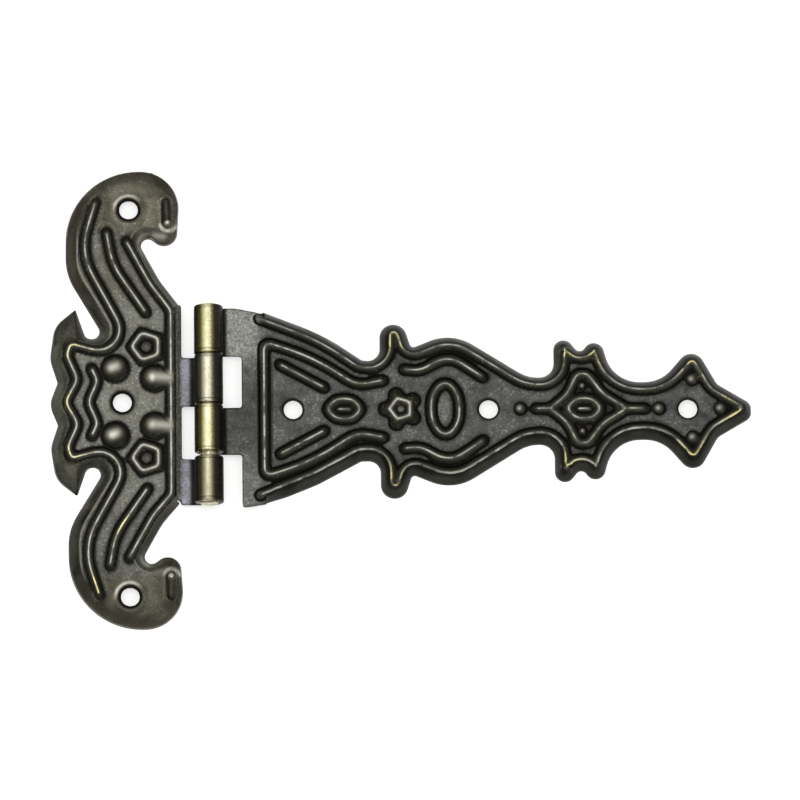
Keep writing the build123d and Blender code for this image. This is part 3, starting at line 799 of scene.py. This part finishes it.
# Floor, a plain white sheet that the hinge lies on and that fades to pure white
# for the eye while it still takes the hinge's shadow.
FLOOR_HALF = 3.0  # in metres, as the places of the floor, lamps and camera are
FLOOR_SPOT = (0.05, 0, -0.00005)
PAPER_COLOUR = (0.9, 0.9, 0.9, 1)
PAPER_GLOW = 0.6
floor_bm = bmesh.new()
bmesh.ops.create_grid(floor_bm, x_segments=1, y_segments=1, size=FLOOR_HALF)
floor_mesh = bpy.data.meshes.new("floor")
floor_bm.to_mesh(floor_mesh)
floor_bm.free()
floor = bpy.data.objects.new("floor", floor_mesh)
floor.location = FLOOR_SPOT
scene.collection.objects.link(floor)
paper = bpy.data.materials.new("white_paper")
paper.use_nodes = True
paper_nodes, paper_links = paper.node_tree.nodes, paper.node_tree.links
paper_shader = paper_nodes["Principled BSDF"]
paper_shader.inputs["Base Color"].default_value = PAPER_COLOUR
paper_shader.inputs["Roughness"].default_value = 0.9
paper_shader.inputs["Emission Color"].default_value = (1, 1, 1, 1)
paper_light = paper_nodes.new("ShaderNodeLightPath")
paper_seen = paper_light.outputs["Is Camera Ray"]
for ray in ("Is Glossy Ray", "Is Transmission Ray"):
    paper_either = paper_nodes.new("ShaderNodeMath")
    paper_either.operation = "MAXIMUM"
    paper_links.new(paper_seen, paper_either.inputs[0])
    paper_links.new(paper_light.outputs[ray], paper_either.inputs[1])
    paper_seen = paper_either.outputs["Value"]
paper_glow = paper_nodes.new("ShaderNodeMath")
paper_glow.operation = "MULTIPLY"
paper_glow.inputs[1].default_value = PAPER_GLOW
paper_links.new(paper_seen, paper_glow.inputs[0])
paper_links.new(paper_glow.outputs["Value"], paper_shader.inputs["Emission Strength"])
floor.data.materials.append(paper)

# Studio light, one broad soft lamp over the hinge a little to the left, a weaker
# one from the lower right, and a pale room that is brighter overhead.
ROOM_COLOUR = (0.97, 0.96, 0.94, 1)
ROOM_LOW = 0.2
ROOM_HIGH = 0.75
LAMP_AIM = Vector((0.05, 0, 0))
scene.view_settings.view_transform = "Standard"
world = bpy.data.worlds.new("room")
scene.world = world
world.use_nodes = True
world_nodes, world_links = world.node_tree.nodes, world.node_tree.links
world_nodes["Background"].inputs["Color"].default_value = ROOM_COLOUR
world_place = world_nodes.new("ShaderNodeTexCoord")
world_axes = world_nodes.new("ShaderNodeSeparateXYZ")
world_level = world_nodes.new("ShaderNodeMapRange")
world_level.inputs["To Min"].default_value = ROOM_LOW
world_level.inputs["To Max"].default_value = ROOM_HIGH
world_links.new(world_place.outputs["Generated"], world_axes.inputs["Vector"])
world_links.new(world_axes.outputs["Z"], world_level.inputs["Value"])
world_links.new(world_level.outputs["Result"], world_nodes["Background"].inputs["Strength"])


def soft_lamp(name, spot, size, power):
    lamp = bpy.data.lights.new(name, "AREA")
    lamp.shape = "DISK"
    lamp.size = size
    lamp.energy = power
    made = bpy.data.objects.new(name, lamp)
    made.location = spot
    made.rotation_euler = (LAMP_AIM - Vector(spot)).to_track_quat("-Z", "Y").to_euler()
    scene.collection.objects.link(made)


soft_lamp("key_lamp", spot=(-0.12, 0.10, 0.75), size=0.32, power=0.6)
soft_lamp("fill_lamp", spot=(0.45, -0.45, 0.45), size=0.4, power=0.4)

# Camera, high over the hinge and a little below it in the picture, far off with
# a long lens so that the leaves keep their true proportions.
CAMERA_LENS = 479.64
CAMERA_SENSOR = 36
CAMERA_DISTANCE = 1.9772
CAMERA_FAR = 20
CAMERA_TURNS = ((-9.534, "Z"), (12.808, "X"), (9.172, "Z"))
CAMERA_TARGET = Vector((51.504, 0.801, 0)) * MM
camera_data = bpy.data.cameras.new("camera")
camera_data.lens = CAMERA_LENS
camera_data.sensor_width = CAMERA_SENSOR
camera_data.clip_end = CAMERA_FAR
camera = bpy.data.objects.new("camera", camera_data)
turn = Matrix.Identity(4)
for degrees, axis in CAMERA_TURNS:
    turn = turn @ Matrix.Rotation(math.radians(degrees), 4, axis)
stand = CAMERA_TARGET + turn @ Vector((0, 0, CAMERA_DISTANCE))
camera.matrix_world = Matrix.Translation(stand) @ turn
scene.collection.objects.link(camera)
scene.camera = camera
